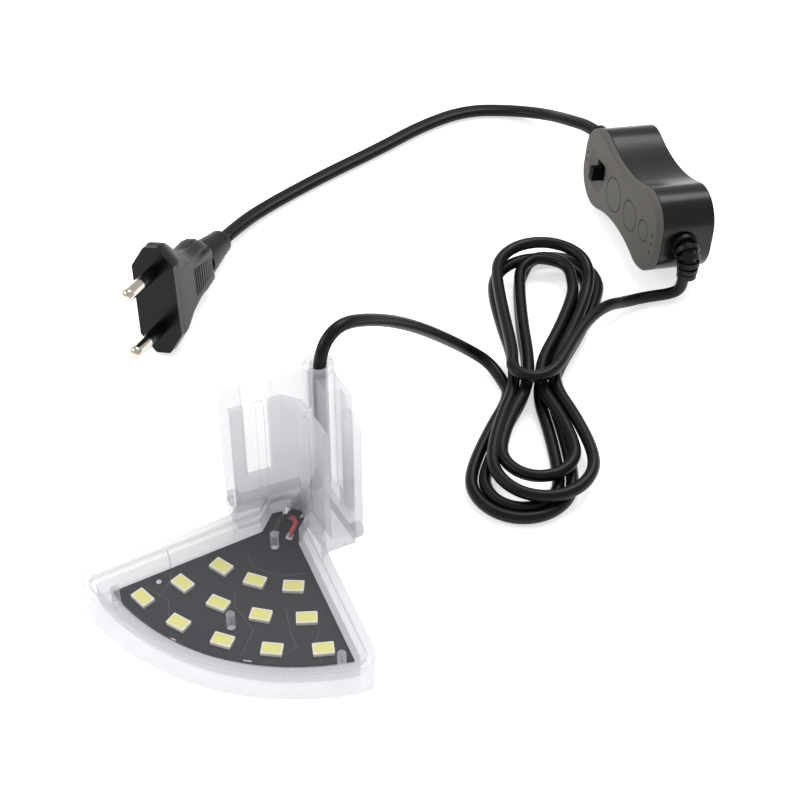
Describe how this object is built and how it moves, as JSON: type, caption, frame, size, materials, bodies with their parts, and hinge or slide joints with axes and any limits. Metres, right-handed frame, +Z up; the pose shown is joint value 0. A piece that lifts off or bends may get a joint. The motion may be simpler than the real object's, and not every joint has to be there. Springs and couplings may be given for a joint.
{
  "type": "led aquarium light",
  "caption": "Clip-on aquarium light: a clear fan-shaped head of diodes on a corner glass clip, with an in-line switched driver and a two-pin plug on its cord.",
  "frame": {"origin": "centre of the lamp's own box (head and clip, without the cord and what is on it), on the surface that it lies on, diodes up", "axes": "+Z up out of the diode side, +Y from the head towards the glass clip, +X across the lamp"},
  "size_m": [0.1605, 0.2725, 0.0559],
  "materials": {
    "clear_plastic": "clear moulded plastic, softly frosted by its ribs",
    "board_mask": "black solder mask, satin",
    "diode_body": "white moulded diode package",
    "phosphor": "pale yellow phosphor gel",
    "solder": "bright solder",
    "red_insulation": "red wire insulation",
    "black_insulation": "black wire insulation",
    "cord_jacket": "black soft cord jacket, satin",
    "case_black": "glossy black moulded case",
    "cover_grey": "fine matte dark grey cover",
    "screw_steel": "zinc plated steel",
    "driver_laminate": "tan circuit board laminate",
    "transformer_tape": "yellow winding tape on a ferrite core",
    "capacitor_can": "sleeved electrolytic can",
    "switch_shell": "black switch body",
    "knob_black": "black slide knob with grip lines",
    "relief_rubber": "black ribbed strain relief",
    "plug_grey": "dark over-moulded plug body",
    "plug_face": "black plug face and pin sleeves",
    "pin_nickel": "nickel plated brass"
  },
  "bodies": {
    "root": {"head_tray": "clear_plastic", "head_cover": "clear_plastic", "front_jaw": "clear_plastic", "rear_jaw": "clear_plastic", "led_board": "board_mask", "led_package_01": "diode_body", "led_package_02": "diode_body", "led_package_03": "diode_body", "led_package_04": "diode_body", "led_package_05": "diode_body", "led_package_06": "diode_body", "led_package_07": "diode_body", "led_package_08": "diode_body", "led_package_09": "diode_body", "led_package_10": "diode_body", "led_package_11": "diode_body", "led_package_12": "diode_body", "led_phosphors": "phosphor", "solder_pads": "solder", "red_wire": "red_insulation", "black_wire": "black_insulation", "inner_cord": "cord_jacket", "lamp_cord": "cord_jacket", "lamp_cord_hank": "cord_jacket", "lamp_cord_lead": "cord_jacket", "mains_cord": "cord_jacket", "driver_case": "case_black", "driver_cover": "cover_grey", "cover_screws": "screw_steel", "driver_board": "driver_laminate", "transformer": "transformer_tape", "capacitor": "capacitor_can", "switch_body": "switch_shell", "lamp_relief": "relief_rubber", "mains_relief": "relief_rubber", "plug_relief": "relief_rubber", "plug_body": "plug_grey", "plug_bridge": "plug_face", "pin_sleeve_lower": "plug_face", "pin_sleeve_upper": "plug_face", "plug_pin_lower": "pin_nickel", "plug_pin_upper": "pin_nickel"},
    "knob": {"switch_knob": "knob_black"}
  },
  "joints": [
    {"name": "switch_slide", "type": "slide", "parent": "root", "child": "knob", "axis": [0.5963, -0.797, 0.0958], "range_m": [-0.0028, 0]}
  ]
}
